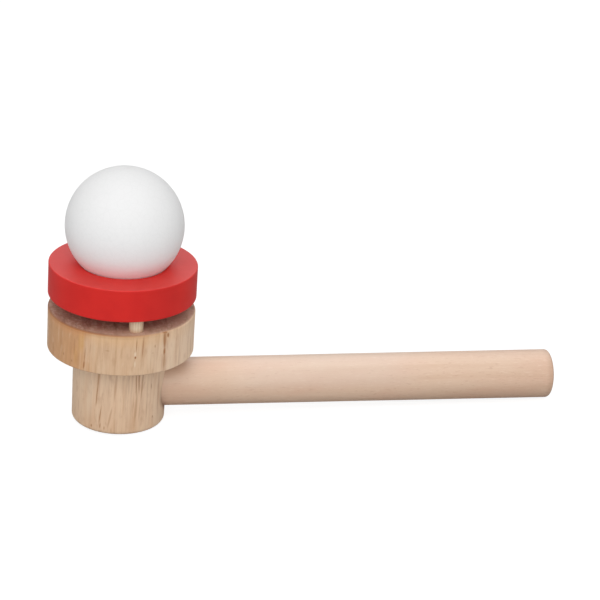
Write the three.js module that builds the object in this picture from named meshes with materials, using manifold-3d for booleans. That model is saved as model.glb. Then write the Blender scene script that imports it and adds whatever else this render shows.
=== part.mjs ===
// Blow ball pipe: breath blown into the pipe leaves the bowl as an upright jet and floats a foam
// ball above the red ring. Millimetres, +Z up. The origin is the centre of the foot's underside
// and the pipe runs along +X.
import * as THREE from "three";
import { mergeVertices } from "three/addons/utils/BufferGeometryUtils.js";
import Module from "manifold-3d";

// Bowl, turned from one blank: a plain stem that is also the foot, and a wide flange on top
const STEM_DIAMETER = 32.2;
const STEM_HEIGHT = 26.7;
const FOOT_ROUND = 1.4;
const NECK_ROUND = 0.4;
const FLANGE_DIAMETER = 50.2;
const FLANGE_THICKNESS = 14.8;
const FLANGE_TOP_ROUND = 0.8;
const FLANGE_UNDER_ROUND = 0.4;

// Air way inside the bowl: the pipe's socket ends in a chamber, and the nozzle rises from it
const NOZZLE_DIAMETER = 6.5;
const NOZZLE_CHAMFER = 0.6;
const CHAMBER_MARGIN = 1.5;

// Blow pipe, a dowel that swells a little towards the mouth
const PIPE_ROOT_DIAMETER = 16.7;
const PIPE_MOUTH_DIAMETER = 17.5;
const PIPE_REACH = 155.6;
const PIPE_AXIS_HEIGHT = 12.5;
const PIPE_BORE_DIAMETER = 7;
const MOUTH_ROUND = 1.1;
const BORE_ROUND = 0.6;
const TENON_CHAMFER = 0.6;

// Ring that cradles the ball, held off the flange by three pegs
const RING_DIAMETER = 50.4;
const RING_THICKNESS = 11.3;
const RING_HOLE_DIAMETER = 29.6;
const RING_EDGE_ROUND = 0.45;
const RING_SEAT_ROUND = 0.5;
const RING_GAP = 4.65;

// Pegs, set in from the flange's edge by PEG_INSET to their axes, one of them just right of the front
const PEG_COUNT = 3;
const PEG_DIAMETER = 4.8;
const PEG_INSET = 4.3;
const PEG_DEPTH_IN_FLANGE = 8;
const PEG_DEPTH_IN_RING = 6;
const PEG_CHAMFER = 0.4;
const FIRST_PEG_DEGREES = -83.4;

// Foam ball
const BALL_DIAMETER = 40;

// Clearances: round a glued dowel, past a dowel's end, and under the resting ball
const GLUE_GAP = 0.15;
const END_GAP = 0.3;
const SEAT_GAP = 0.1;

// How far a cutter runs past the face that it opens
const OVERRUN = 1;

// Facets round each piece and along each rounded edge
const BOWL_FACETS = 72;
const RING_FACETS = 72;
const PIPE_FACETS = 48;
const NOZZLE_FACETS = 32;
const PEG_FACETS = 24;
const BALL_FACETS = 48;
const ARC_FACETS = 4;

// Heights up the bowl's axis
const stemRadius = STEM_DIAMETER / 2;
const flangeRadius = FLANGE_DIAMETER / 2;
const nozzleRadius = NOZZLE_DIAMETER / 2;
const flangeTop = STEM_HEIGHT + FLANGE_THICKNESS;
const ringUnderside = flangeTop + RING_GAP;
const ringTop = ringUnderside + RING_THICKNESS;

// The socket runs past the nozzle's far wall, and the pipe stops short of its near wall.
const chamberEnd = nozzleRadius + CHAMBER_MARGIN;
const tenonRadius = PIPE_ROOT_DIAMETER / 2;
const socketRadius = tenonRadius + GLUE_GAP;

const wasm = await Module();
wasm.setup();

// The solid that a closed geometry bounds, without its zero-width triangles.
function solidOf(geometry) {
  geometry.deleteAttribute("normal");
  geometry.deleteAttribute("uv");
  const merged = mergeVertices(geometry);
  const corners = merged.index.array;
  const kept = [];
  for (let i = 0; i < corners.length; i += 3) {
    const [a, b, c] = corners.slice(i, i + 3);
    if (a !== b && b !== c && c !== a) kept.push(a, b, c);
  }
  const vertProperties = merged.attributes.position.array;
  const triVerts = new Uint32Array(kept);
  return new wasm.Manifold(new wasm.Mesh({ numProp: 3, vertProperties, triVerts }));
}

// The geometry of a solid, with flat facets.
function geometryOf(solid) {
  const { vertProperties, triVerts } = solid.getMesh();
  const geometry = new THREE.BufferGeometry();
  geometry.setAttribute("position", new THREE.BufferAttribute(vertProperties, 3));
  geometry.setIndex(new THREE.BufferAttribute(triVerts, 1));
  const faceted = geometry.toNonIndexed();
  faceted.computeVertexNormals();
  return faceted;
}

// An outline through corners of [radius, height, rounding], with an arc at each rounded corner.
function outline(corners) {
  return corners.flatMap(([radius, height, rounding], i) => {
    const corner = new THREE.Vector2(radius, height);
    if (!rounding) return [corner];
    const [before, after] = [corners.at(i - 1), corners.at((i + 1) % corners.length)].map(
      ([r, h]) => new THREE.Vector2(r, h).sub(corner).normalize(),
    );
    const halfAngle = Math.acos(before.dot(after)) / 2;
    const tangent = rounding / Math.tan(halfAngle);
    const toCentre = before.clone().add(after).setLength(rounding / Math.sin(halfAngle));
    const start = before.multiplyScalar(tangent).sub(toCentre);
    const end = after.multiplyScalar(tangent).sub(toCentre);
    const turn = Math.atan2(start.cross(end), start.dot(end));
    const centre = corner.add(toCentre);
    return Array.from({ length: ARC_FACETS + 1 }, (_, k) =>
      start.clone().rotateAround(new THREE.Vector2(), (turn * k) / ARC_FACETS).add(centre),
    );
  });
}

// A turned solid about +Z. Its outline starts and ends on the axis.
function turned(corners, facets) {
  return solidOf(new THREE.LatheGeometry(outline(corners), facets).rotateX(Math.PI / 2));
}

// A turned solid with a hole along its axis. Its outline closes on itself.
function turnedTube(corners, facets) {
  const points = outline(corners);
  points.push(points[0].clone());
  return solidOf(new THREE.LatheGeometry(points, facets).rotateX(Math.PI / 2));
}

// A plain cylinder about +Z from one height to another.
function cylinder(radius, from, to, facets) {
  return turned([[0, from], [radius, from], [radius, to], [0, to]], facets);
}

// The same solid turned so that its axis runs along +X at a height.
function alongX(solid, height) {
  const geometry = geometryOf(solid).rotateY(Math.PI / 2).translate(0, 0, height);
  return solidOf(geometry);
}

// The places of the pegs round the bowl's axis.
function pegPlaces() {
  const places = [];
  for (let i = 0; i < PEG_COUNT; i++) {
    const angle = THREE.MathUtils.degToRad(FIRST_PEG_DEGREES) + (2 * Math.PI * i) / PEG_COUNT;
    const radius = flangeRadius - PEG_INSET;
    places.push(new THREE.Vector3(radius * Math.cos(angle), radius * Math.sin(angle), 0));
  }
  return places;
}

// A piece less a blind hole for each peg, from one height to another.
function withPegHoles(piece, from, to) {
  const radius = PEG_DIAMETER / 2 + GLUE_GAP;
  return pegPlaces().reduce((drilled, place) => {
    const drill = geometryOf(cylinder(radius, from, to, PEG_FACETS));
    return drilled.subtract(solidOf(drill.translate(place.x, place.y, 0)));
  }, piece);
}

// The nozzle's bore, from the chamber up, with its chamfer at the flange's top face.
function nozzleCutter() {
  const chamferFoot = flangeTop - NOZZLE_CHAMFER;
  const above = flangeTop + OVERRUN;
  return turned(
    [
      [0, PIPE_AXIS_HEIGHT],
      [nozzleRadius, PIPE_AXIS_HEIGHT],
      [nozzleRadius, chamferFoot],
      [nozzleRadius + above - chamferFoot, above],
      [0, above],
    ],
    NOZZLE_FACETS,
  );
}

function bowlGeometry() {
  const blank = turned(
    [
      [0, 0],
      [stemRadius, 0, FOOT_ROUND],
      [stemRadius, STEM_HEIGHT, NECK_ROUND],
      [flangeRadius, STEM_HEIGHT, FLANGE_UNDER_ROUND],
      [flangeRadius, flangeTop, FLANGE_TOP_ROUND],
      [0, flangeTop],
    ],
    BOWL_FACETS,
  );
  const socket = cylinder(socketRadius, -chamberEnd, stemRadius + OVERRUN, PIPE_FACETS);
  const bored = blank.subtract(alongX(socket, PIPE_AXIS_HEIGHT)).subtract(nozzleCutter());
  return geometryOf(withPegHoles(bored, flangeTop - PEG_DEPTH_IN_FLANGE, flangeTop + OVERRUN));
}

// The pipe's own +Z runs from the bowl's axis to the mouth: a straight tenon, then the taper.
function pipeGeometry() {
  const mouthRadius = PIPE_MOUTH_DIAMETER / 2;
  const boreRadius = PIPE_BORE_DIAMETER / 2;
  return geometryOf(
    turnedTube(
      [
        [boreRadius, chamberEnd],
        [tenonRadius - TENON_CHAMFER, chamberEnd],
        [tenonRadius, chamberEnd + TENON_CHAMFER],
        [tenonRadius, stemRadius],
        [mouthRadius, PIPE_REACH, MOUTH_ROUND],
        [boreRadius, PIPE_REACH, BORE_ROUND],
      ],
      PIPE_FACETS,
    ),
  );
}

// The ring's own origin is at its underside.
function ringGeometry() {
  const holeRadius = RING_HOLE_DIAMETER / 2;
  const outerRadius = RING_DIAMETER / 2;
  const blank = turnedTube(
    [
      [holeRadius, 0, RING_SEAT_ROUND],
      [outerRadius, 0, RING_EDGE_ROUND],
      [outerRadius, RING_THICKNESS, RING_EDGE_ROUND],
      [holeRadius, RING_THICKNESS, RING_SEAT_ROUND],
    ],
    RING_FACETS,
  );
  return geometryOf(withPegHoles(blank, -OVERRUN, PEG_DEPTH_IN_RING));
}

// A peg's own origin is where it leaves the flange's top face.
function pegGeometry() {
  const radius = PEG_DIAMETER / 2;
  const lowEnd = END_GAP - PEG_DEPTH_IN_FLANGE;
  const highEnd = RING_GAP + PEG_DEPTH_IN_RING - END_GAP;
  return geometryOf(
    turned(
      [
        [0, lowEnd],
        [radius - PEG_CHAMFER, lowEnd],
        [radius, lowEnd + PEG_CHAMFER],
        [radius, highEnd - PEG_CHAMFER],
        [radius - PEG_CHAMFER, highEnd],
        [0, highEnd],
      ],
      PEG_FACETS,
    ),
  );
}

function ballGeometry() {
  const sphere = new THREE.SphereGeometry(BALL_DIAMETER / 2, BALL_FACETS, BALL_FACETS / 2);
  return geometryOf(solidOf(sphere.rotateX(Math.PI / 2)));
}

// How high above the ring's top face the ball's centre rests, on the rounded rim of the hole.
function ballRise() {
  const reach = BALL_DIAMETER / 2 + RING_SEAT_ROUND + SEAT_GAP;
  const rimRadius = RING_HOLE_DIAMETER / 2 + RING_SEAT_ROUND;
  return Math.sqrt(reach ** 2 - rimRadius ** 2) - RING_SEAT_ROUND;
}

function finish(color, roughness) {
  return new THREE.MeshStandardMaterial({ color, roughness, metalness: 0 });
}

function piece(name, geometry, material) {
  const mesh = new THREE.Mesh(geometry, material);
  mesh.name = name;
  return mesh;
}

const toy = new THREE.Group();

const bowl = piece("bowl", bowlGeometry(), finish(0xcdaa87, 0.6));
toy.add(bowl);

const blowPipe = piece("blow_pipe", pipeGeometry(), finish(0xe0c2a8, 0.55));
blowPipe.rotation.y = Math.PI / 2;
blowPipe.position.z = PIPE_AXIS_HEIGHT;
toy.add(blowPipe);

// What stands on the flange
const cradle = new THREE.Group();
cradle.position.z = flangeTop;
toy.add(cradle);

pegPlaces().forEach((place, i) => {
  const peg = piece(`ring_peg_${i + 1}`, pegGeometry(), finish(0xcdb496, 0.65));
  peg.position.copy(place);
  cradle.add(peg);
});

const ring = piece("ring", ringGeometry(), finish(0xc8302c, 0.4));
ring.position.z = RING_GAP;
cradle.add(ring);

const ball = piece("foam_ball", ballGeometry(), finish(0xf2f2f2, 0.9));
ball.position.z = RING_GAP + RING_THICKNESS + ballRise();
cradle.add(ball);

export default toy;
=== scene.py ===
"""Blow ball pipe toy: a bowl turned with its stem, a dowel pipe, a red ring on three pegs and a foam ball.

Metres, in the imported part's frame: +Z up along the bowl's axis, +X along the pipe.
"""

import math

import bpy
import numpy as np
from mathutils import Matrix, Vector


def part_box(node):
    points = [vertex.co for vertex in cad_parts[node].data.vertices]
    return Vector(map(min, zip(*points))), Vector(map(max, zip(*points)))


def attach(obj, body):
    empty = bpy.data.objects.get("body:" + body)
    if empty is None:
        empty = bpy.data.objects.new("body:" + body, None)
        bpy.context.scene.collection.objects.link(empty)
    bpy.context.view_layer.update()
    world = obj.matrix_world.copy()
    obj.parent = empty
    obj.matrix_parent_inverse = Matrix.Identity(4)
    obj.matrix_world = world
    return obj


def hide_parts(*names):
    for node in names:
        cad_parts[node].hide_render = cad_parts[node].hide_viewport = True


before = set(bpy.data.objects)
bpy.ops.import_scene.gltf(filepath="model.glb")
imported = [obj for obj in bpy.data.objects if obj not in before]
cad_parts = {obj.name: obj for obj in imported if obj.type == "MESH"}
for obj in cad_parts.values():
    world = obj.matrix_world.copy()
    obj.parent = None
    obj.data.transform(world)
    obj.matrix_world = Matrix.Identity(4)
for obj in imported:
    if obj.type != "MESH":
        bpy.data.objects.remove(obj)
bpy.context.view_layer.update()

MM = 0.001
rng = np.random.default_rng(seed=7)

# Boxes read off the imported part, and its pegs' names
bowl_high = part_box("bowl")[1]
pipe_low, pipe_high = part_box("blow_pipe")
ring_low, ring_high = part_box("ring")
ball_low, ball_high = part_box("foam_ball")
PEGS = ("ring_peg_1", "ring_peg_2", "ring_peg_3")

# Bowl
FLANGE_RADIUS = bowl_high.x
FLANGE_TOP = bowl_high.z
STEM_RADIUS = 16.1 * MM
STEM_HEIGHT = 26.7 * MM
FOOT_ROUND = 1.4 * MM
NECK_ROUND = 0.4 * MM
FLANGE_TOP_ROUND = 0.8 * MM
FLANGE_UNDER_ROUND = 0.4 * MM
NOZZLE_RADIUS = 3.25 * MM
NOZZLE_ROUND = 0.4 * MM

# Blow pipe, how much wider its socket is, and how far past the bowl's axis the socket ends
PIPE_HEIGHT = (pipe_low.z + pipe_high.z) / 2
MOUTH_RADIUS = (pipe_high.z - pipe_low.z) / 2
ROOT_RADIUS = 8.35 * MM
BORE_RADIUS = 3.5 * MM
MOUTH_ROUND = 1.1 * MM
BORE_ROUND = 0.6 * MM
TENON_ROUND = 0.5 * MM
TENON_FIT = 0.08 * MM
CHAMBER_BACK = -4.75 * MM

# Ring
RING_RADIUS = ring_high.x
RING_HOLE_RADIUS = 14.8 * MM
RING_EDGE_ROUND = 0.45 * MM
RING_SEAT_ROUND = 0.5 * MM

# Pegs, and how much wider their holes are
PEG_ROUND = 0.3 * MM
PEG_FIT = 0.05 * MM

# Ball: how far its beads are apart, how far each is shaken from an even place, the surface that one takes
# up, the grooves between them, how much they differ in height, and how deep light enters the foam
BALL_RADIUS = (ball_high.z - ball_low.z) / 2
BALL_CENTRE = (ball_low + ball_high) / 2
BEAD_SPACING = 2.1 * MM
BEAD_SHAKE = 0.22 * BEAD_SPACING
BEAD_AREA = 0.87 * BEAD_SPACING**2
BEAD_GROOVE = 0.012 * MM
BEAD_GROOVE_WIDTH = 0.32 * MM
BEAD_SWELL = 0.008 * MM
FOAM_DEPTH = 3 * MM

# Mesh spacing along a side that shows its grain and along a plain one, the fewest steps of an arc, steps
# round each turned piece, rows from pole to pole of the ball, and how many parts it is worked out in
FINE = 0.35 * MM
PLAIN = 1.5 * MM
ARC_STEPS = 8
BOWL_STEPS = 432
RING_STEPS = 384
PIPE_STEPS = 160
PEG_STEPS = 64
BALL_ROWS = 192
BALL_PARTS = 40

# How far a cutter runs past the face that it opens, and the angle from which an edge counts as sharp
OVERRUN = 1 * MM
SHARP_ANGLE = math.radians(35)

# What the lathe and the sander leave on a turned side: the wavelength and depth of a gentle ripple, the
# radius where it starts, and how much further out it is whole. Along the pipe it is half as tight
BOWL_RIPPLE = (14 * MM, 0.06 * MM, 8 * MM, 4 * MM)
PIPE_RIPPLE = (16 * MM, 0.05 * MM, BORE_RADIUS, 3 * MM)
RING_RIPPLE = (18 * MM, 0.05 * MM, RING_HOLE_RADIUS, 5 * MM)
PIPE_RIPPLE_SHARES = (1, 1, 0.5)

# Camera, solved from the photograph's edges: the point it stands at, its turn, pitch and roll, and its
# focal length in pixels of the frame. The sensor's width is in mm
CAMERA_PLACE = Vector((-0.07437, -0.59276, 0.29965))
CAMERA_TURN = math.radians(-12.944)
CAMERA_PITCH = math.radians(22.908)
CAMERA_ROLL = math.radians(-4.38)
FOCAL_PIXELS = 1903.5
FRAME_PIXELS = 600
SENSOR_WIDTH = 36
CLIP_START = 0.01
CLIP_END = 20

# Light: a white room, one broad soft light over the camera, a large panel above and behind the toy that
# only shows as sheen, and a floor, with how much light it throws back at the toy, and how matte it is and
# how much it glows for the camera. Powers are in watts
ROOM_LIGHT = 0.59
KEY_PLACE = (-0.19, -0.95, 0.755)
KEY_TARGET = (0.03, 0.0, 0.05)
KEY_SIZE = 1.0
KEY_POWER = 7.2
PANEL_PLACE = (0.02, 0.34, 1.2)
PANEL_TARGET = (0.08, 0.0, 0.0)
PANEL_SIZE = 2.0
PANEL_POWER = 28.0
FLOOR_REACH = 3.0
FLOOR_THROWN = 0.5
FLOOR_MATTE = 0.28
FLOOR_GLOW = 0.87


# Meshes


def new_piece(name, vertices, faces, material, body, node):
    """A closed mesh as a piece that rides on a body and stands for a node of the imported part."""
    mesh = bpy.data.meshes.new(name)
    mesh.from_pydata(vertices.tolist(), [], faces)
    mesh.validate()
    piece = bpy.data.objects.new(name, mesh)
    bpy.context.scene.collection.objects.link(piece)
    mesh.materials.append(material)
    mesh.polygons.foreach_set("use_smooth", np.ones(len(mesh.polygons), bool))
    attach(piece, body)
    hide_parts(node)
    return piece


def rounded_outline(corners, closed):
    """Points of an outline through corners of (radius, height, rounding, spacing).

    A rounded corner is an arc of at least ARC_STEPS steps that touches both of its sides. A side is
    straight between the arcs, with points about as far apart as its first corner's spacing.
    """
    count = len(corners)
    places = [np.array(corner[:2], float) for corner in corners]
    points = []
    for number, (_, _, rounding, _) in enumerate(corners):
        corner = places[number]
        if rounding:
            before = places[number - 1] - corner
            after = places[(number + 1) % count] - corner
            before = before / np.linalg.norm(before)
            after = after / np.linalg.norm(after)
            half = math.acos(float(before @ after)) / 2
            middle = before + after
            centre = corner + middle / np.linalg.norm(middle) * rounding / math.sin(half)
            start = corner + before * rounding / math.tan(half) - centre
            end = corner + after * rounding / math.tan(half) - centre
            first = math.atan2(start[1], start[0])
            turn = (math.atan2(end[1], end[0]) - first + math.pi) % (2 * math.pi) - math.pi
            steps = max(ARC_STEPS, math.ceil(abs(turn) * rounding / FINE))
            angles = first + turn * np.linspace(0, 1, steps + 1)
            arc = centre + rounding * np.stack([np.cos(angles), np.sin(angles)], 1)
        else:
            arc = corner[None]
        if points:
            points.append(straight(points[-1][-1], arc[0], corners[number - 1][3]))
        points.append(arc)
    if closed:
        points.append(straight(points[-1][-1], points[0][0], corners[-1][3]))
    return np.concatenate(points)


def straight(start, end, spacing):
    """The points between two ends of a straight side, without the ends."""
    steps = max(1, math.ceil(float(np.linalg.norm(end - start)) / spacing))
    shares = np.arange(1, steps) / steps
    return start + shares[:, None] * (end - start)


def revolve(outline, steps, closed):
    """A surface of revolution about Z: (radius cos a, radius sin a, height) for each point and angle a.

    An open outline starts and ends on the axis, where one vertex closes the surface with a fan of
    triangles.
    """
    rows = outline if closed else outline[1:-1]
    angles = 2 * np.pi * np.arange(steps) / steps
    radius, height = rows[:, :1], rows[:, 1:]
    grid = np.stack([radius * np.cos(angles), radius * np.sin(angles), height + 0 * angles], 2)
    vertices = grid.reshape(-1, 3)
    index = np.arange(len(rows) * steps).reshape(len(rows), steps)
    upper = np.roll(index, -1, 0) if closed else index[1:]
    lower = index if closed else index[:-1]
    quads = np.stack([lower, np.roll(lower, -1, 1), np.roll(upper, -1, 1), upper], 2)
    quads = quads.reshape(-1, 4).tolist()
    if closed:
        return vertices, quads
    ends = np.array([[0, 0, outline[0, 1]], [0, 0, outline[-1, 1]]])
    first, last = len(vertices), len(vertices) + 1
    bottom = np.stack([np.roll(index[0], -1), index[0], np.full(steps, first)], 1).tolist()
    top = np.stack([index[-1], np.roll(index[-1], -1), np.full(steps, last)], 1).tolist()
    return np.concatenate([vertices, ends]), quads + bottom + top


def along_x(vertices, height):
    """The same points with their axis along +X at a height: (x, y, z) becomes (z, y, height - x)."""
    return np.stack([vertices[:, 2], vertices[:, 1], height - vertices[:, 0]], 1)


def ripple(points, wavelength, depth, waves=9):
    """A gentle unevenness: the mean of a few sine waves of random direction and phase, times a depth."""
    directions = rng.normal(size=(waves, 3))
    directions *= 2 * np.pi / wavelength / np.linalg.norm(directions, axis=1)[:, None]
    phases = rng.uniform(0, 2 * np.pi, waves)
    return depth * np.sin(points @ directions.T + phases).mean(1)


def tooled(vertices, unevenness, ripple_shares=(1, 1, 1), pits=0.0):
    """A turned piece as the tools leave it: each point moves towards its axis by the ripple, and by pits.

    The ripple takes off its depth less its height there, times a share that rises from 0 at its start
    radius to 1 a reach further out, so that points near the axis stay.
    """
    wavelength, depth, start, reach = unevenness
    radial = vertices * (1, 1, 0)
    length = np.linalg.norm(radial, axis=1)
    outer = np.clip((length - start) / reach, 0, 1)
    taken = (depth - ripple(vertices * ripple_shares, wavelength, depth)) * outer + pits
    return vertices - radial / np.maximum(length, MM)[:, None] * taken[:, None]


def cylinder_cutter(radius, low, high, steps):
    """A plain cylinder about Z between two heights."""
    corners = [(0, low), (radius, low), (radius, high), (0, high)]
    outline = rounded_outline([(*corner, 0, high - low) for corner in corners], False)
    return revolve(outline, steps, False)


def cut(piece, cutters):
    """Takes each cutter's volume out of a piece, and shades its sharp edges as such."""
    for number, (vertices, faces) in enumerate(cutters):
        mesh = bpy.data.meshes.new(f"cutter_{number}")
        mesh.from_pydata(vertices.tolist(), [], faces)
        cutter = bpy.data.objects.new(f"cutter_{number}", mesh)
        bpy.context.scene.collection.objects.link(cutter)
        modifier = piece.modifiers.new("bore", "BOOLEAN")
        modifier.operation = "DIFFERENCE"
        modifier.solver = "MANIFOLD"
        modifier.object = cutter
        bpy.context.view_layer.update()
        evaluated = piece.evaluated_get(bpy.context.evaluated_depsgraph_get())
        bored = bpy.data.meshes.new_from_object(evaluated)
        piece.modifiers.clear()
        piece.data = bored
        bpy.data.objects.remove(cutter)
    piece.data.set_sharp_from_angle(angle=SHARP_ANGLE)


def peg_holes(margin, low, high):
    """Cutters for the pegs' holes, a little wider than the pegs, between two heights."""
    cutters = []
    for name in PEGS:
        corner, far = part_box(name)
        middle = (corner + far) / 2
        vertices, faces = cylinder_cutter((far.x - corner.x) / 2 + margin, low, high, PEG_STEPS)
        cutters.append((vertices + np.array([middle.x, middle.y, 0]), faces))
    return cutters


# Materials


class Value:
    """A node's output. Arithmetic on it adds Math nodes, so a pattern is written as a formula."""

    def __init__(self, tree, socket):
        self.tree = tree
        self.socket = socket

    def maths(self, operation, *values):
        """A Math node's result for its values in order."""
        return self.tree.node("ShaderNodeMath", {"operation": operation}, dict(enumerate(values)))

    def __add__(self, other):
        return self.maths("ADD", self, other)

    def __sub__(self, other):
        return self.maths("SUBTRACT", self, other)

    def __rsub__(self, other):
        return self.maths("SUBTRACT", other, self)

    def __mul__(self, other):
        return self.maths("MULTIPLY", self, other)

    __radd__ = __add__
    __rmul__ = __mul__

    def absolute(self):
        """The value without its sign."""
        return self.maths("ABSOLUTE", self)

    def most(self, other):
        """The larger of two values."""
        return self.maths("MAXIMUM", self, other)

    def ramp(self, start, end, first=0.0, last=1.0):
        """The first number at start, the last at end, and smooth between them. Start may be above end."""
        if start > end:
            return self.ramp(end, start, last, first)
        settings = {"interpolation_type": "SMOOTHSTEP"}
        sockets = {"Value": self, "From Min": start, "From Max": end, "To Min": first, "To Max": last}
        return self.tree.node("ShaderNodeMapRange", settings, sockets)


class Tree:
    """A node tree that nodes are added to, each by one call."""

    def __init__(self, tree):
        self.tree = tree

    def node(self, kind, settings, sockets, output=0):
        """A node of that type, with its settings made first and its sockets set or linked after."""
        made = self.tree.nodes.new(kind)
        for name, value in settings.items():
            setattr(made, name, value)
        for name, value in sockets.items():
            self.put(value, made.inputs[name])
        return Value(self, made.outputs[output])

    def put(self, value, socket):
        """Links a node's output to an input socket, or sets the socket to a plain value."""
        if isinstance(value, Value):
            self.tree.links.new(value.socket, socket)
        else:
            socket.default_value = value

    def ray(self, kind):
        """1 for that kind of ray, such as the camera's or one from a matte surface, and 0 for others."""
        return self.node("ShaderNodeLightPath", {}, {}, f"Is {kind} Ray")


class Shader(Tree):
    """A material's node tree, from the piece's own coordinates in millimetres to its surface."""

    def __init__(self, name):
        self.material = bpy.data.materials.new(name)
        self.material.use_nodes = True
        super().__init__(self.material.node_tree)
        self.surface = self.tree.nodes["Principled BSDF"]
        place = self.node("ShaderNodeTexCoord", {}, {}, "Object")
        scaled = {"Vector": place, "Scale": 1 / MM}
        self.place = self.node("ShaderNodeVectorMath", {"operation": "SCALE"}, scaled, "Vector")
        self.facing = self.node("ShaderNodeTexCoord", {}, {}, "Normal")

    def parts(self, vector):
        """The three numbers of a vector."""
        made = self.node("ShaderNodeSeparateXYZ", {}, {"Vector": vector}).socket.node
        return [Value(self, socket) for socket in made.outputs]

    def joined(self, x, y, z):
        """A vector from three numbers."""
        return self.node("ShaderNodeCombineXYZ", {}, {"X": x, "Y": y, "Z": z})

    def length(self, vector):
        """How long a vector is."""
        return self.node("ShaderNodeVectorMath", {"operation": "LENGTH"}, {0: vector}, "Value")

    def noise(self, place, density, start, detail=2.0, roughness=0.5):
        """Soft noise round 0.5, with about density features a millimetre along X, Y and Z.

        Each pattern has a start of its own, so that no two run together.
        """
        sockets = {0: place, 1: density, 2: (start, start, start)}
        moved = self.node("ShaderNodeVectorMath", {"operation": "MULTIPLY_ADD"}, sockets, "Vector")
        sockets = {"Vector": moved, "Scale": 1.0, "Detail": detail, "Roughness": roughness}
        return self.node("ShaderNodeTexNoise", {}, sockets, "Fac")

    def seams(self, place, size):
        """How far a point is from the nearest seam between cells of about a size, as a share of it."""
        sockets = {"Vector": place, "Scale": 1 / size}
        return self.node("ShaderNodeTexVoronoi", {"feature": "DISTANCE_TO_EDGE"}, sockets, "Distance")

    def mix(self, share, first, second):
        """A colour between two others. A Mix node takes colours in sockets 6 and 7 and gives output 2."""
        sockets = {0: share, 6: linear(first), 7: linear(second)}
        return self.node("ShaderNodeMix", {"data_type": "RGBA"}, sockets, 2)

    def tinted(self, color, tints):
        """A colour under tints, which show by their strength where a pattern goes from start to full."""
        for pattern, start, full, strength, tint in tints:
            color = self.mix(pattern.ramp(start, full) * strength, color, tint)
        return color

    def bump(self, height, strength, distance):
        """The surface normal over small relief."""
        sockets = {"Height": height, "Strength": strength, "Distance": distance}
        return self.node("ShaderNodeBump", {}, sockets, "Normal")

    def dress(self, **sockets):
        """Sets the surface shader's sockets, with spaces in their names as underscores."""
        for name, value in sockets.items():
            self.put(value, self.surface.inputs[name.replace("_", " ")])
        return self.material


def linear(color):
    """A colour as a screen shows it, 0 to 255, in a shader's linear numbers by the sRGB formula.

    A colour that comes from a node passes as it is.
    """
    if isinstance(color, Value):
        return color
    shares = np.array(color) / 255
    numbers = np.where(shares <= 0.04045, shares / 12.92, ((shares + 0.055) / 1.055) ** 2.4)
    return (*numbers.tolist(), 1.0)


# Colours of the bowl's wood, its marks and its end grain, as a screen shows them
FOOT_TAN = (230, 197, 165)
STEM_TAN_AND_PAINTED_LIGHT = (246, 217, 186)
FLANGE_TAN = (224, 190, 156)
SAP_PALE = (245, 218, 190)
HEART_ORANGE = (210, 157, 110)
GRAIN_LIGHT = (236, 208, 176)
GRAIN_BROWN = (176, 124, 84)
PATCH_GOLD = (216, 164, 98)
BAND_GOLD = (230, 186, 138)
BAND_STAIN = (214, 148, 96)
STREAK_BROWN = (168, 108, 62)
STREAK_DARK = (112, 68, 42)
FLECK_PALE = (244, 226, 202)
SOCKET_GLUE_AND_SHADE_BROWN = (140, 92, 66)
RIM_BROWN = (178, 114, 62)
EDGE_BROWN = (132, 82, 50)
END_DARK = (176, 134, 114)
END_LIGHT = (194, 162, 142)
END_RINGS = (158, 108, 94)
END_LINES = (128, 84, 66)
END_PAINTED_LIGHT = (208, 176, 152)

# Colours of the pipe
PIPE_PALE = (228, 197, 172)
PIPE_PINK = (225, 188, 163)
PIPE_TAN = (210, 172, 142)
PIPE_FLECK = (196, 152, 122)
PIPE_LIGHT = (240, 214, 194)
PIPE_PAINTED_SHEEN = (226, 208, 192)
PIPE_PAINTED_SHADE = (200, 164, 136)
PIPE_MOUTH_PAINTED_SHADE = (186, 148, 120)
PIPE_GLUE_AND_SHADE_BROWN = (150, 102, 76)
PIPE_END_DARK = (180, 140, 110)
PIPE_END_LIGHT = (200, 166, 138)

# Colours of the pegs, the ring and the ball
PEG_PALE = (234, 214, 186)
PEG_FIBRE = (204, 177, 143)
PEG_PAINTED_SHADE = (180, 130, 90)
RED = (220, 37, 31)
RED_MOTTLE = (214, 34, 29)
RED_PAINTED_SHADE = (196, 36, 32)
RED_PAINTED_SHEEN = (212, 90, 82)
FOAM_SEAM = (242, 242, 242)
FOAM_WHITE = (244, 244, 244)

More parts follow.
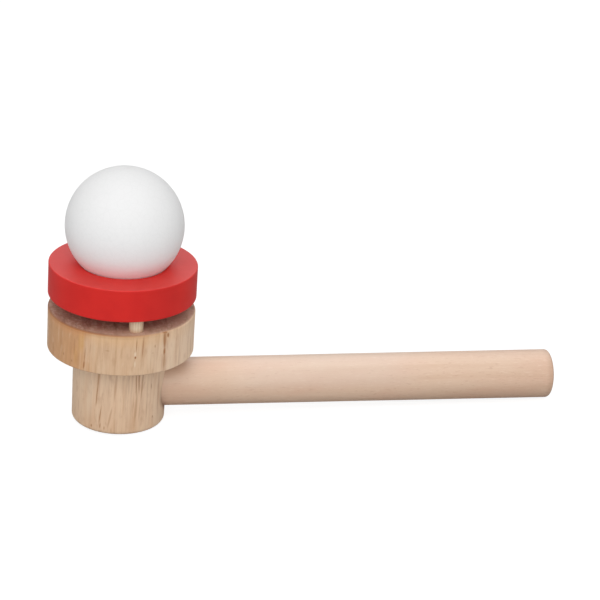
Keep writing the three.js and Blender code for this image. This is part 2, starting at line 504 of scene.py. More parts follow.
# Marks in the bowl's wood. A streak runs up the grain from one end to the other: degrees round the bowl at
# its low and its high end, heights of both ends in mm, half its width in mm, and its strength from 0 to 1.
# The renderer has room for about 68 rows of these four tables, and with more of them the bowl turns black
FLANGE_STREAKS = (
    (-61.8, -60.9, 24.6, 36.0, 2.0, 0.36),
    (-61.9, -60.8, 25.6, 36.6, 0.7, 0.52),
    (-61.4, -61.2, 31.8, 36.4, 0.8, 0.68),
    (-61.3, -61.3, 32.8, 35.2, 0.5, 0.8),
    (-61.2, -61.7, 33.4, 45.0, 1.4, 0.44),
    (-61.2, -61.6, 33.0, 44.0, 0.75, 0.66),
    (-58.4, -64.8, 40.8, 41.4, 0.7, 0.72),
    (-58.2, -58.6, 38.6, 41.0, 0.8, 0.7),
    (-58.6, -59.4, 33.0, 40.0, 0.6, 0.3),
    (-69.8, -70.0, 36.0, 37.6, 0.35, 0.5),
    (-71.6, -71.6, 34.0, 34.9, 0.4, 0.35),
    (-81.0, -79.4, 25.2, 43.0, 1.1, 0.3),
    (-80.4, -79.2, 30.6, 43.0, 0.5, 0.52),
    (-85.0, -84.7, 34.4, 41.2, 0.34, 0.52),
    (-85.5, -85.5, 32.8, 34.0, 0.4, 0.94),
    (-107.0, -107.0, 35.3, 35.9, 1.2, 0.5),
    (-107.8, -108.1, 29.0, 42.0, 1.3, 0.28),
    (-121.0, -120.0, 33.0, 38.0, 0.4, 0.35),
    (-125.8, -125.2, 26.8, 31.2, 0.5, 0.6),
    (-125.4, -124.0, 29.4, 36.6, 0.42, 0.48),
    (-118.6, -118.0, 27.0, 40.0, 0.8, 0.14),
    (-112.4, -112.0, 29.0, 42.0, 0.5, 0.16),
    (-134.5, -134.8, 30.0, 39.2, 0.7, 0.32),
    (-136.9, -136.9, 28.5, 29.8, 0.5, 0.45),
    (-145.9, -145.9, 29.6, 31.0, 0.6, 0.5),
    (-150.0, -149.6, 29.0, 41.0, 0.9, 0.25),
    (-160.9, -161.1, 28.0, 33.0, 0.9, 0.3),
    (-20.0, -20.6, 27.0, 38.0, 0.5, 0.4),
    (28.0, 27.0, 29.0, 41.4, 0.5, 0.5),
    (71.0, 72.0, 27.0, 35.0, 0.4, 0.6),
    (118.0, 117.0, 30.0, 41.4, 0.6, 0.4),
)
STEM_STREAKS = (
    (-124.8, -121.4, 12.0, 27.4, 0.5, 0.36),
    (-124.4, -121.4, 14.0, 27.4, 0.34, 0.42),
    (-125.4, -123.4, 8.6, 19.6, 0.36, 0.62),
    (-121.4, -117.2, 2.0, 12.0, 0.34, 0.5),
    (-119.6, -118.6, 1.6, 4.4, 0.35, 0.5),
    (-110.4, -103.6, 0.8, 12.0, 0.6, 0.4),
    (-111.7, -110.7, 1.0, 24.0, 2.7, 0.2),
    (-102.8, -99.4, 10.0, 26.0, 0.7, 0.36),
    (-93.0, -92.0, 13.0, 24.0, 0.7, 0.26),
    (-75.2, -76.4, 11.0, 27.4, 0.5, 0.5),
    (-72.0, -72.6, 13.5, 27.4, 0.52, 0.54),
    (-69.6, -66.2, 10.0, 27.4, 0.46, 0.42),
    (-76.6, -73.8, 2.0, 19.0, 0.8, 0.4),
    (-71.0, -70.0, 3.0, 13.0, 0.6, 0.26),
    (-53.8, -54.1, 15.4, 18.6, 0.35, 0.45),
    (-50.5, -50.7, 19.0, 23.0, 0.35, 0.35),
    (-40.2, -39.8, 1.0, 24.0, 1.1, 0.36),
    (-60.4, -59.6, 3.4, 14.0, 0.5, 0.26),
    (-49.8, -49.9, 4.4, 5.8, 0.4, 0.5),
    (-130.9, -131.0, 1.4, 3.0, 0.5, 0.5),
    (-113.8, -113.5, 1.4, 3.4, 0.4, 0.45),
    (-84.9, -85.1, 12.0, 26.6, 0.5, 0.3),
    (-155.0, -155.5, 4.0, 11.5, 0.5, 0.3),
    (40.0, 42.0, 6.0, 22.0, 0.4, 0.55),
    (96.0, 99.0, 2.0, 14.0, 0.4, 0.5),
    (150.0, 151.0, 12.0, 26.0, 0.4, 0.55),
)

# Pale flecks and broad pale bands, with degrees as on the flange's side. The last two lie on the stem
PALE_FLECKS = (
    (-85.8, -85.7, 33.6, 35.6, 0.45, 0.55),
    (-85.7, -85.7, 29.6, 32.4, 0.45, 0.45),
    (-122.4, -121.8, 29.0, 41.6, 1.9, 0.2),
    (-92.0, -92.0, 27.0, 41.0, 2.2, 0.1),
    (-72.2, -72.2, 28.0, 43.0, 2.4, 0.13),
    (-84.4, -84.2, 0.0, 25.0, 3.6, 0.16),
    (-135.3, -135.3, 1.0, 26.0, 3.4, 0.25),
)

# Golden patches on the flange's side
GOLD_PATCHES = (
    (-128.8, -127.6, 32.0, 42.6, 1.6, 0.85),
    (-133.5, -133.0, 27.0, 36.0, 1.4, 0.5),
)

# A streak is full inside this share of its half width and half length and reaches past its ends by this
# factor, and as a pit in the mesh it fades over this share of its length at either end
STREAK_CORE = 0.25
STREAK_REACH = 1.15
PIT_FADE = 0.25

# How far a streak's darkest part lies under the surface. Pits are whole down to PIT_START under a turned
# side, and gone at twice as much
PIT_DEPTH = 0.09 * MM
PIT_START = 0.5 * MM

# Small relief in the shading: the bowl's grain, the pipe's, and that of pegs, paint and foam
BOWL_RELIEF = 0.08 * MM
PIPE_RELIEF = 0.06 * MM
FINE_RELIEF = 0.05 * MM

# Sizes and places from here to the pieces are in mm, and a pair is where a tone starts and where it is
# full. The grain leans over by this much for each unit of height, and wanders by this many mm
GRAIN_LEAN = 0.03
GRAIN_WANDER = 1.6

# The orange heartwood lies at one corner of the blank: its direction, how far out it starts, and how much
# its edge wavers with the bands and with the lines
HEART_TOWARDS = math.radians(-150)
HEARTWOOD = (21.4, 24.2)
HEART_WAVER = (4.0, 3.0)

# Along X: the pale sapwood, how much its edge wavers, the stain at the flange's edge and the paler side of
# the flat faces, where they are also painted lighter. Along Y: where the flat faces are painted lighter in
# front, as light where the ring's shade thins. Up the stem: where it is painted paler towards the flange, as
# light against the shade under the flange
SAPWOOD = (2.0, 17.0)
SAP_WAVER = 10.0
STAINED = (-12.0, -17.0)
PALE_SIDE = (-12.0, 20.0)
PAINTED_LIGHT_FRONT = (-17.0, -23.0)
STEM_PAINTED_LIGHT = (2.0, 25.0)

# Heights on the flange: its top, and where on its side the golden band, the stain and the brown line begin
RIM_TOP = FLANGE_TOP / MM
RIM_GOLD = RIM_TOP - 6.0
RIM_STAIN = RIM_TOP - 4.0
RIM_LINE = RIM_TOP - 1.9

# How far the flange's wood is blended into the stem's under the neck
NECK_BLEND = 0.2

# How far the tones reach: painted shade up a peg's foot, under the ring; glue and painted shade along the
# pipe from the stem and round the pipe's socket, which opens on one side of the stem. The tinge gathers
# under the pipe as painted shade, by height over the pipe's axis
PEG_FOOT_PAINTED_SHADE = 1.6
PIPE_GLUE_AND_SHADE = 2.4
SOCKET_GLUE_AND_SHADE = 2.2
SOCKET_SIDE = (8.0, 12.0)
GLUE_AND_SHADE_UNDER = (5.0, -6.0)

# Along the pipe: a stretch painted greyer on top as sheen and its far end, the root painted darker as the
# bowl's shadow, the flanks painted darker towards the mouth as shade, and how far from the mouth its end is
# painted darker as shade
PIPE_PAINTED_SHEEN_START = (30.0, 50.0)
PIPE_PAINTED_SHEEN_END = (112.0, 92.0)
PIPE_PAINTED_SHADOW_ROOT = (44.0, 32.0)
PIPE_PAINTED_SHADE_FLANKS = (90.0, 125.0)
MOUTH_PAINTED_SHADE_REACH = 3.2

# On the ring: the front of its top along Y, painted paler as sheen, and a patch of its side along X and its
# far end, painted darker as shade
RING_PAINTED_FRONT = (0.0, -14.0)
PAINTED_SHADE_PATCH = (2.0, 7.0)
PAINTED_SHADE_PATCH_END = (17.5, 14.0)


def pit_depths(vertices, radius, marks):
    """Streaks as depths under the side of a mesh, worked out for all vertices at once.

    A pit is as deep as its streak's strength squared, times exp(-(across / width) squared) off its middle.
    """
    degrees = np.degrees(np.arctan2(vertices[:, 1], vertices[:, 0]))
    height = vertices[:, 2] / MM
    depth_below = radius - np.hypot(vertices[:, 0], vertices[:, 1])
    on_side = np.clip(2 - depth_below / PIT_START, 0, 1)
    depths = np.zeros(len(vertices))
    for low_degrees, high_degrees, low, high, width, strength in marks:
        share = (height - low) / (high - low)
        across = np.radians(degrees - low_degrees - share * (high_degrees - low_degrees)) * radius / MM
        along = np.clip(share / PIT_FADE, 0, 1) * np.clip((1 - share) / PIT_FADE, 0, 1)
        depths = np.maximum(depths, strength**2 * along * np.exp(-((across / width) ** 2)))
    return depths * on_side * PIT_DEPTH


class BowlWood(Shader):
    """Tan hardwood with its grain upright: soft bands, lines, mottling, fibres and the named streaks.

    Across the blank the wood turns from orange heart at one corner through tan to pale sapwood at +X.
    """

    def __init__(self):
        super().__init__("bowl_wood")
        x, y, self.z = self.parts(self.place)
        around = self.node("ShaderNodeMath", {"operation": "ARCTAN2"}, {0: y, 1: x})
        self.flange_side = self.joined(around * (FLANGE_RADIUS / MM), self.z, 0.0)
        self.stem_side = self.joined(around * (STEM_RADIUS / MM), self.z, 0.0)
        self.on_flange = self.z.ramp(STEM_HEIGHT / MM - NECK_BLEND, STEM_HEIGHT / MM)
        sway = self.noise(self.place, (0.07, 0.07, 0.03), 3) - 0.5
        swing = self.noise(self.place, (0.07, 0.07, 0.03), 40) - 0.5
        self.across = x - self.z * GRAIN_LEAN + sway * GRAIN_WANDER
        self.grain = self.joined(self.across, y + swing * GRAIN_WANDER, self.z)
        self.bands = self.noise(self.grain, (0.45, 0.12, 0.02), 13, 3.0, 0.6)
        self.lines = self.noise(self.grain, (0.8, 0.2, 0.03), 51, 2.0, 0.55)
        self.fibres = self.noise(self.grain, (2.6, 2.6, 0.14), 63, 3.0, 0.6)
        out = x * math.cos(HEART_TOWARDS) + y * math.sin(HEART_TOWARDS)
        by_bands, by_lines = HEART_WAVER
        self.heart = (out + (self.bands - 0.5) * by_bands + (self.lines - 0.5) * by_lines).ramp(*HEARTWOOD)
        self.sap = (self.across + (self.bands - 0.5) * SAP_WAVER).ramp(*SAPWOOD)

    def streaks(self, unrolled, radius, marks):
        """Where streaks lie, from 0 to 1: each is a long soft spot on the side, unrolled to millimetres.

        A point is seen from the streak's own middle, turned along it, in units of its half width and half
        length: the streak is full inside a share of that distance and ends at one.
        """
        total = None
        for low_degrees, high_degrees, low, high, width, strength in marks:
            low_end = np.array([math.radians(low_degrees) * radius / MM, low])
            high_end = np.array([math.radians(high_degrees) * radius / MM, high])
            middle = (low_end + high_end) / 2
            length = float(np.linalg.norm(high_end - low_end)) / 2
            sockets = {
                "Vector": unrolled,
                "Location": (*middle, 0),
                "Rotation": (0, 0, math.atan2(low_end[0] - high_end[0], high - low)),
                "Scale": (width, length * STREAK_REACH, 1),
            }
            own = self.node("ShaderNodeMapping", {"vector_type": "TEXTURE"}, sockets)
            one = self.length(own).ramp(STREAK_CORE, 1.0, strength, 0.0)
            total = one if total is None else total.most(one)
        return total

    def grained(self):
        """The wood along the grain, without its marks."""
        broad = self.noise(self.grain, (0.18, 0.06, 0.02), 7)
        mottle = self.noise(self.grain, (0.7, 0.5, 0.2), 29, 2.0, 0.6)
        # Painted light: the stem is painted paler up towards the flange, against the shade under the flange
        tan = self.mix(self.z.ramp(*STEM_PAINTED_LIGHT), FOOT_TAN, STEM_TAN_AND_PAINTED_LIGHT)
        tan = self.mix(self.on_flange, tan, FLANGE_TAN)
        color = self.mix(self.sap * 0.85, tan, SAP_PALE)
        orange = (broad.ramp(0.5, 0.7) * 0.3).most(self.heart * 0.85)
        color = self.mix(orange, color, HEART_ORANGE)
        tints = (
            (self.bands, 0.52, 0.72, 0.28, HEART_ORANGE),
            (self.lines, 0.52, 0.76, 0.33, GRAIN_BROWN),
            (self.lines, 0.46, 0.28, 0.38, GRAIN_LIGHT),
            (mottle, 0.52, 0.76, 0.26, GRAIN_BROWN),
            (mottle, 0.46, 0.26, 0.28, GRAIN_LIGHT),
            (self.fibres, 0.46, 0.78, 0.17, GRAIN_BROWN),
        )
        return self.tinted(color, tints)

    def banded(self, color):
        """Golden patches, and a band under the flange's rim: golden, but a brown stain towards -X."""
        patches = self.streaks(self.flange_side, FLANGE_RADIUS, GOLD_PATCHES)
        color = self.mix(patches * self.on_flange * 0.7, color, PATCH_GOLD)
        stained = self.across.ramp(*STAINED)
        gold = self.z.ramp(RIM_GOLD, RIM_LINE) * (1 - stained) * (1 - self.sap * 0.6) * 0.5
        stain = self.z.ramp(RIM_STAIN, (RIM_LINE + RIM_TOP) / 2) * stained * 0.45
        color = self.mix(gold, color, BAND_GOLD)
        return self.mix(stain, color, BAND_STAIN)

    def streaked(self, color):
        """Brown streaks, darkest in their middle and a little ragged with the fibres, and pale flecks."""
        ragged = self.fibres.ramp(0.25, 0.6) * 0.25 + 0.75
        on_flange = self.streaks(self.flange_side, FLANGE_RADIUS, FLANGE_STREAKS) * self.on_flange
        on_stem = self.streaks(self.stem_side, STEM_RADIUS, STEM_STREAKS) * (1 - self.on_flange)
        marks = (on_flange + on_stem) * ragged
        color = self.mix(marks.ramp(0.0, 0.85), color, STREAK_BROWN)
        color = self.mix(marks.ramp(0.8, 1.0) * 0.8, color, STREAK_DARK)
        flecks = self.streaks(self.flange_side, FLANGE_RADIUS, PALE_FLECKS)
        return self.mix(flecks, color, FLECK_PALE)

    def glued_and_shaded(self, color):
        """The brown tinge on the stem round the pipe's socket: an adhesive stain, and painted shade under
        the pipe.
        """
        forward, aside, height = self.parts(self.place)
        over_pipe = height - PIPE_HEIGHT / MM
        off_axis = self.length(self.joined(0.0, aside, over_pipe))
        around = off_axis.ramp(ROOT_RADIUS / MM + SOCKET_GLUE_AND_SHADE, ROOT_RADIUS / MM)
        # Glue stain, and painted shade in the joint, gathered under the pipe
        tinge = around * forward.ramp(*SOCKET_SIDE) * over_pipe.ramp(*GLUE_AND_SHADE_UNDER)
        return self.mix(tinge * 0.8, color, SOCKET_GLUE_AND_SHADE_BROWN)

    def end_grain(self, pale_side):
        """The flat faces' colour: dark, mottled and ringed, with painted light in front and on the pale
        side.
        """
        speckle = self.noise(self.place, (0.7, 0.7, 0.7), 88, 3.0, 0.6)
        rings = self.noise(self.grain, (0.4, 0.08, 0.4), 91, 2.0)
        color = self.mix(speckle.ramp(0.4, 0.62), END_DARK, END_LIGHT)
        tints = (
            (rings, 0.48, 0.62, 0.5, END_RINGS),
            (self.lines, 0.54, 0.7, 0.6, END_LINES),
        )
        color = self.tinted(color, tints)
        # Painted light: the end grain is lighter towards the front and the pale side, where the ring casts
        # less shade
        front = self.parts(self.place)[1].ramp(*PAINTED_LIGHT_FRONT)
        painted_light = (pale_side.ramp(0.8, 1.0) * 0.3).most(front * 0.5)
        return self.mix(painted_light, color, END_PAINTED_LIGHT)

    def finished(self):
        """The whole wood, with end grain on its flat faces and a brown line round the rim."""
        color = self.glued_and_shaded(self.streaked(self.banded(self.grained())))
        level = self.parts(self.facing)[2].absolute()
        flat = level.ramp(0.5, 0.92)
        pale_side = self.parts(self.place)[0].ramp(*PALE_SIDE)
        rim = self.z.ramp(RIM_LINE, RIM_TOP - FLANGE_TOP_ROUND / MM)
        line = rim * (level.ramp(0.0, 0.3) * 0.5 + 0.3) * (1 - pale_side * 0.9)
        edge = rim * level.ramp(0.2, 0.6) * level.ramp(1.0, 0.9) * (1 - pale_side)
        color = self.mix(line, color, RIM_BROWN)
        color = self.mix(flat * 0.94, color, self.end_grain(pale_side))
        color = self.mix(edge * 0.65, color, EDGE_BROWN)
        normal = self.bump(self.fibres * 0.6 + self.lines * 0.4, 0.2, BOWL_RELIEF)
        rough = self.fibres * 0.15 + flat * 0.25 + 0.45
        return self.dress(Base_Color=color, Roughness=rough, Normal=normal, Specular_IOR_Level=0.4)


def pipe_wood():
    """Pale pinkish dowel with its grain along the pipe: fine fibres, soft blotches and short faint flecks.

    A long stretch is painted paler and greyer on top, as sheen. The root, the sides towards the mouth and
    the mouth's end are tinted with painted shade. Adhesive and painted shade tinge it brown where it enters
    the stem, and the ends show end grain.
    """
    wood = Shader("pipe_wood")
    blotches = wood.noise(wood.place, (0.03, 0.09, 0.09), 5, 3.0)
    bands = wood.noise(wood.place, (0.008, 0.35, 0.35), 17)
    fibres = wood.noise(wood.place, (0.07, 2.4, 2.4), 23, 3.0, 0.6)
    flecks = wood.noise(wood.place, (0.45, 2.2, 2.2), 37, 1.0)
    speckle = wood.noise(wood.place, (1.6, 1.6, 1.6), 88, 3.0, 0.7)
    color = wood.mix(blotches.ramp(0.38, 0.62), PIPE_PALE, PIPE_PINK)
    tints = (
        (bands, 0.5, 0.72, 0.3, PIPE_TAN),
        (fibres, 0.46, 0.75, 0.2, PIPE_TAN),
        (flecks, 0.62, 0.74, 0.35, PIPE_FLECK),
        (flecks, 0.4, 0.28, 0.3, PIPE_LIGHT),
    )
    color = wood.tinted(color, tints)
    x, y, z = wood.parts(wood.place)
    along, _, up = wood.parts(wood.facing)
    # Painted sheen: a greyer, paler top along a stretch of the pipe
    painted_sheen = x.ramp(*PIPE_PAINTED_SHEEN_START) * x.ramp(*PIPE_PAINTED_SHEEN_END) * up.ramp(-0.2, 0.3)
    color = wood.mix(painted_sheen * 0.35, color, PIPE_PAINTED_SHEEN)
    # Painted shade: the sides towards the mouth, and the root in the bowl's shadow, are tinted darker
    shaded_flanks = up.ramp(0.15, -0.35).most(up.ramp(0.55, 0.85) * 0.5)
    painted_shade = (x.ramp(*PIPE_PAINTED_SHADE_FLANKS) * shaded_flanks).most(x.ramp(*PIPE_PAINTED_SHADOW_ROOT) * 0.6)
    color = wood.mix(painted_shade * 0.3, color, PIPE_PAINTED_SHADE)
    # Painted shade on the mouth's rounded end, which faces away from the light
    mouth_painted_shade = x.ramp(pipe_high.x / MM - MOUTH_PAINTED_SHADE_REACH, (pipe_high.x - MOUTH_ROUND) / MM) * 0.35
    color = wood.mix(mouth_painted_shade, color, PIPE_MOUTH_PAINTED_SHADE)
    # Glue stain, and painted shade in the joint, gathered under the pipe where it enters the stem
    glue_and_shade = wood.length(wood.joined(x, y, 0.0)).ramp(STEM_RADIUS / MM + PIPE_GLUE_AND_SHADE, STEM_RADIUS / MM)
    glue_and_shade = glue_and_shade * (z - PIPE_HEIGHT / MM).ramp(*GLUE_AND_SHADE_UNDER) * 0.3
    color = wood.mix(glue_and_shade, color, PIPE_GLUE_AND_SHADE_BROWN)
    end_grain = wood.mix(speckle.ramp(0.4, 0.6), PIPE_END_DARK, PIPE_END_LIGHT)
    color = wood.mix(along.absolute().ramp(0.4, 0.9) * 0.9, color, end_grain)
    relief = fibres * 0.6 - flecks.ramp(0.62, 0.74) * 0.5
    normal = wood.bump(relief, 0.18, PIPE_RELIEF)
    rough = fibres * 0.12 + 0.38
    return wood.dress(Base_Color=color, Roughness=rough, Normal=normal, Specular_IOR_Level=0.5)


def peg_wood():
    """Straight pale dowel with upright fibres, with painted shade at its foot under the ring."""
    wood = Shader("peg_wood")
    fibres = wood.noise(wood.place, (3.0, 3.0, 0.12), 9, 3.0, 0.6)
    color = wood.mix(fibres.ramp(0.35, 0.7), PEG_PALE, PEG_FIBRE)
    # Painted shade: the peg's foot under the ring is tinted deeper
    foot = wood.parts(wood.place)[2].ramp(RIM_TOP + PEG_FOOT_PAINTED_SHADE, RIM_TOP) * 0.45
    color = wood.mix(foot, color, PEG_PAINTED_SHADE)
    normal = wood.bump(fibres, 0.2, FINE_RELIEF)
    return wood.dress(Base_Color=color, Roughness=0.62, Normal=normal, Specular_IOR_Level=0.3)


def red_paint():
    """Satin red paint, brushed thin over wood: a faint mottle, with the finest orange peel in its sheen.

    Its flat top gets a painted sheen in front and painted shade behind, and a part of its side gets
    painted shade too.
    """
    paint = Shader("red_paint")
    mottle = paint.noise(paint.place, (0.12, 0.12, 0.12), 2, 3.0)
    peel = paint.noise(paint.place, (1.1, 1.1, 1.1), 19)
    grit = paint.noise(paint.place, (6.0, 6.0, 6.0), 31)
    color = paint.mix(mottle.ramp(0.35, 0.65), RED, RED_MOTTLE)
    x, y, _ = paint.parts(paint.place)
    flat = paint.parts(paint.facing)[2].ramp(0.8, 1.0)
    # Painted sheen on the front of the flat top; painted shade behind it and on a part of the side
    painted_front = y.ramp(*RING_PAINTED_FRONT)
    painted_shade_patch = x.ramp(*PAINTED_SHADE_PATCH) * x.ramp(*PAINTED_SHADE_PATCH_END) * painted_front
    painted_shade = (flat * (1 - painted_front)).most((1 - flat) * painted_shade_patch) * 0.3
    color = paint.mix(painted_shade, color, RED_PAINTED_SHADE)
    color = paint.mix(flat * painted_front * 0.2, color, RED_PAINTED_SHEEN)
    rough = mottle * 0.06 + grit * 0.05 + 0.46
    normal = paint.bump(peel + grit * 0.3, 0.1, FINE_RELIEF)
    return paint.dress(Base_Color=color, Roughness=rough, Normal=normal, Specular_IOR_Level=0.3)


def white_foam():
    """Fine white bead foam, matte, with a hair more shade in the seams between beads."""
    foam = Shader("white_foam")
    seams = foam.seams(foam.place, BEAD_SPACING / MM).ramp(0.0, 0.09)
    grain = foam.noise(foam.place, (3.0, 3.0, 3.0), 4)
    color = foam.mix(seams, FOAM_SEAM, FOAM_WHITE)
    normal = foam.bump(seams * 0.4 + grain * 0.3, 0.05, FINE_RELIEF)
    return foam.dress(
        Base_Color=color,
        Roughness=0.85,
        Normal=normal,
        Specular_IOR_Level=0.25,
        Subsurface_Weight=0.5,
        Subsurface_Radius=(1.0, 1.0, 1.0),
        Subsurface_Scale=FOAM_DEPTH,
    )


# Pieces


def make_bowl():
    """The bowl: foot, stem and flange turned from one blank, with the air way's bores and peg holes."""
    outline = rounded_outline(
        [
            (0, 0, 0, PLAIN),
            (STEM_RADIUS, 0, FOOT_ROUND, FINE),
            (STEM_RADIUS, STEM_HEIGHT, NECK_ROUND, PLAIN),
            (FLANGE_RADIUS, STEM_HEIGHT, FLANGE_UNDER_ROUND, FINE),
            (FLANGE_RADIUS, FLANGE_TOP, FLANGE_TOP_ROUND, PLAIN),
            (NOZZLE_RADIUS, FLANGE_TOP, NOZZLE_ROUND, PLAIN),
            (NOZZLE_RADIUS, PIPE_HEIGHT, 0, PLAIN),
            (0, PIPE_HEIGHT, 0, PLAIN),
        ],
        False,
    )
    vertices, faces = revolve(outline, BOWL_STEPS, False)
    pits = pit_depths(vertices, FLANGE_RADIUS, FLANGE_STREAKS)
    pits += pit_depths(vertices, STEM_RADIUS, STEM_STREAKS)
    vertices = tooled(vertices, BOWL_RIPPLE, pits=pits)
    wood = BowlWood().finished()
    bowl = new_piece("turned_bowl", vertices, faces, wood, "pipe_toy", "bowl")
    outside = STEM_RADIUS + OVERRUN
    points, sides = cylinder_cutter(ROOT_RADIUS + TENON_FIT, CHAMBER_BACK, outside, PIPE_STEPS)
    socket = (along_x(points, PIPE_HEIGHT), sides)
    hole_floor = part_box(PEGS[0])[0].z - PEG_FIT
    cut(bowl, [socket, *peg_holes(PEG_FIT, hole_floor, FLANGE_TOP + OVERRUN)])


def make_pipe():
    """The blow pipe: a tube with a straight tenon, a slight swell to the mouth and softened edges there."""
    outline = rounded_outline(
        [
            (BORE_RADIUS, pipe_low.x, 0, PLAIN),
            (ROOT_RADIUS, pipe_low.x, TENON_ROUND, PLAIN),
            (ROOT_RADIUS, STEM_RADIUS, 0, PLAIN),
            (MOUTH_RADIUS, pipe_high.x, MOUTH_ROUND, PLAIN),
            (BORE_RADIUS, pipe_high.x, BORE_ROUND, 2 * PLAIN),
        ],
        True,
    )
    vertices, faces = revolve(outline, PIPE_STEPS, True)
    vertices = along_x(tooled(vertices, PIPE_RIPPLE, PIPE_RIPPLE_SHARES), PIPE_HEIGHT)
    new_piece("pipe_dowel", vertices, faces, pipe_wood(), "pipe_toy", "blow_pipe")


def make_ring():
    """The red ring: a thick disc with a through hole, its edges softened by sanding and paint."""
    outline = rounded_outline(
        [
            (RING_HOLE_RADIUS, ring_low.z, RING_SEAT_ROUND, PLAIN),
            (RING_RADIUS, ring_low.z, RING_EDGE_ROUND, 2 * FINE),
            (RING_RADIUS, ring_high.z, RING_EDGE_ROUND, 2 * FINE),
            (RING_HOLE_RADIUS, ring_high.z, RING_SEAT_ROUND, PLAIN),
        ],
        True,
    )
    vertices, faces = revolve(outline, RING_STEPS, True)
    vertices = tooled(vertices, RING_RIPPLE)
    ring = new_piece("painted_ring", vertices, faces, red_paint(), "pipe_toy", "ring")
    hole_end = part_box(PEGS[0])[1].z + PEG_FIT
    cut(ring, peg_holes(PEG_FIT, ring_low.z - OVERRUN, hole_end))


def make_peg(name, material):
    """A peg: a short dowel with softened ends."""
    low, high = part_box(name)
    radius = (high.x - low.x) / 2
    middle = (low + high) / 2
    outline = rounded_outline(
        [
            (0, low.z, 0, PLAIN),
            (radius, low.z, PEG_ROUND, FINE),
            (radius, high.z, PEG_ROUND, PLAIN),
            (0, high.z, 0, PLAIN),
        ],
        False,
    )
    vertices, faces = revolve(outline, PEG_STEPS, False)
    vertices = vertices + np.array([middle.x, middle.y, 0])
    new_piece(f"{name}_dowel", vertices, faces, material, "pipe_toy", name)


def bead_centres(count):
    """Directions spread evenly over a sphere on a golden-angle spiral, then each shaken a little."""
    steps = np.arange(count) + 0.5
    height = 1 - 2 * steps / count
    turn = steps * math.pi * (3 - math.sqrt(5))
    flat = np.sqrt(1 - height**2)
    centres = np.stack([flat * np.cos(turn), flat * np.sin(turn), height], 1)
    centres += rng.normal(size=centres.shape) * BEAD_SHAKE / BALL_RADIUS
    return centres / np.linalg.norm(centres, axis=1)[:, None]


def make_ball():
    """The foam ball: a sphere whose fused beads swell a little, with shallow grooves between them.

    The radius drops by the groove's depth times exp(-(gap / width) squared), where gap is how much nearer
    the nearest bead's centre is than the next one's, and each bead stands at its own small height.
    """
    angles = np.pi * np.arange(BALL_ROWS + 1) / BALL_ROWS
    outline = np.stack([np.sin(angles), -np.cos(angles)], 1)
    directions, faces = revolve(outline, 2 * BALL_ROWS, False)
    count = round(4 * math.pi * BALL_RADIUS**2 / BEAD_AREA)
    centres = bead_centres(count)
    swell = rng.uniform(0, 1, count)
    radius = np.empty(len(directions))
    for part in np.array_split(np.arange(len(directions)), BALL_PARTS):
        closeness = directions[part] @ centres.T
        nearest = np.argpartition(-closeness, 2, axis=1)[:, :2]
        pair = np.take_along_axis(closeness, nearest, 1)
        turns = np.sort(np.arccos(np.clip(pair, -1, 1)), axis=1)
        own = nearest[np.arange(len(part)), pair.argmax(1)]
        gap = (turns[:, 1] - turns[:, 0]) * BALL_RADIUS
        groove = np.exp(-((gap / BEAD_GROOVE_WIDTH) ** 2))
        rise = BEAD_SWELL * swell[own] * (1 - groove)
        radius[part] = BALL_RADIUS - BEAD_SWELL - BEAD_GROOVE * groove + rise
    vertices = directions * radius[:, None] + np.array(BALL_CENTRE)
    new_piece("bead_foam_ball", vertices, faces, white_foam(), "ball", "foam_ball")


# Stage, light and camera


def lean_of_table():
    """The table's angle under the toy, which tips until its foot's edge and the pipe's mouth touch it."""
    reach = pipe_high.x - MOUTH_ROUND - (STEM_RADIUS - FOOT_ROUND)
    return math.atan2(pipe_low.z, reach)


def floor_paper():
    """Pale paper. It throws back less light than it shows, so that the undersides keep their shade."""
    paper = Shader("floor_paper")
    thrown = paper.node("ShaderNodeBsdfDiffuse", {}, {"Color": (FLOOR_THROWN,) * 3 + (1,)})
    matte = paper.node("ShaderNodeBsdfDiffuse", {}, {"Color": (FLOOR_MATTE,) * 3 + (1,)})
    glow = paper.node("ShaderNodeEmission", {}, {"Strength": FLOOR_GLOW})
    shown = paper.node("ShaderNodeAddShader", {}, {0: matte, 1: glow})
    surface = paper.node("ShaderNodeMixShader", {}, {0: paper.ray("Camera"), 1: thrown, 2: shown})
    paper.put(surface, paper.tree.nodes["Material Output"].inputs["Surface"])
    return paper.material


def make_floor():
    """The table's top, turned about the foot's edge so that the mouth's edge touches it too."""
    corners = np.array([[-1, -1, 0], [1, -1, 0], [1, 1, 0], [-1, 1, 0]]) * FLOOR_REACH
    mesh = bpy.data.meshes.new("floor")
    mesh.from_pydata(corners.tolist(), [], [(0, 1, 2, 3)])
    floor = bpy.data.objects.new("floor", mesh)
    bpy.context.scene.collection.objects.link(floor)
    edge = Matrix.Translation((STEM_RADIUS - FOOT_ROUND, 0, 0))
    floor.matrix_world = edge @ Matrix.Rotation(-lean_of_table(), 4, "Y")
    mesh.materials.append(floor_paper())


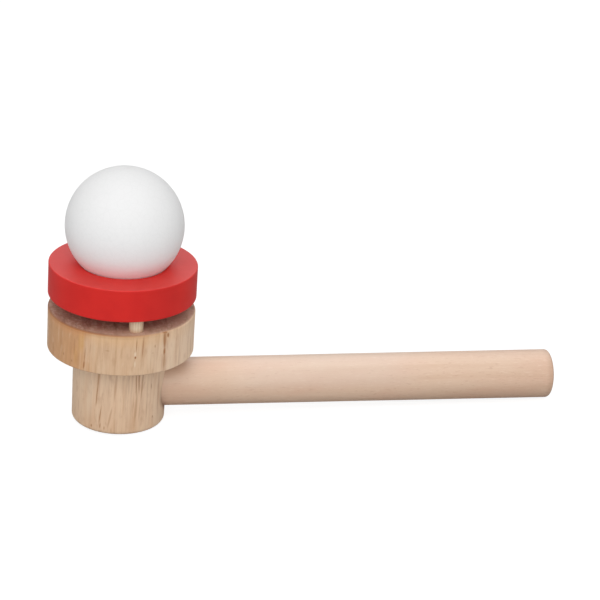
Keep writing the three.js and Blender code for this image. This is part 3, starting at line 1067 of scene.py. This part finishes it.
def make_light(name, place, target, size, power, matte=True):
    """A soft square light at a place, facing a target. Without matte it only shows in glossy sheen."""
    data = bpy.data.lights.new(name, "AREA")
    data.shape = "SQUARE"
    data.size = size
    data.energy = power
    lamp = bpy.data.objects.new(name, data)
    bpy.context.scene.collection.objects.link(lamp)
    lamp.visible_diffuse = matte
    lamp.location = place
    lamp.rotation_euler = (Vector(target) - Vector(place)).to_track_quat("-Z", "Y").to_euler()


def make_world():
    """A white room: seen and mirrored it is pure white, and it lights matte surfaces more softly."""
    world = bpy.data.worlds.new("studio")
    world.use_nodes = True
    nodes = Tree(world.node_tree)
    strength = 1 - nodes.ray("Diffuse") * (1 - ROOM_LIGHT)
    background = world.node_tree.nodes["Background"]
    nodes.put((1, 1, 1, 1), background.inputs["Color"])
    nodes.put(strength, background.inputs["Strength"])
    bpy.context.scene.world = world


def make_camera():
    """A camera from its place and its three turns: right, down and forward are its own axes."""
    level = Vector((math.cos(CAMERA_TURN), math.sin(CAMERA_TURN), 0))
    ahead = Vector((-math.sin(CAMERA_TURN), math.cos(CAMERA_TURN), 0))
    forward = math.cos(CAMERA_PITCH) * ahead - math.sin(CAMERA_PITCH) * Vector((0, 0, 1))
    below = forward.cross(level)
    right = math.cos(CAMERA_ROLL) * level + math.sin(CAMERA_ROLL) * below
    down = math.cos(CAMERA_ROLL) * below - math.sin(CAMERA_ROLL) * level
    turned = Matrix((right, -down, -forward)).transposed().to_4x4()
    data = bpy.data.cameras.new("camera")
    data.sensor_width = SENSOR_WIDTH
    data.lens = FOCAL_PIXELS / FRAME_PIXELS * SENSOR_WIDTH
    data.clip_start = CLIP_START
    data.clip_end = CLIP_END
    camera = bpy.data.objects.new("camera", data)
    bpy.context.scene.collection.objects.link(camera)
    camera.matrix_world = Matrix.Translation(CAMERA_PLACE) @ turned
    bpy.context.scene.camera = camera


make_camera()
make_world()
make_light("key", KEY_PLACE, KEY_TARGET, KEY_SIZE, KEY_POWER)
make_light("overhead_panel", PANEL_PLACE, PANEL_TARGET, PANEL_SIZE, PANEL_POWER, matte=False)
make_floor()
bpy.context.scene.view_settings.view_transform = "Standard"

make_bowl()
make_pipe()
make_ring()
dowel = peg_wood()
for peg in PEGS:
    make_peg(peg, dowel)
make_ball()
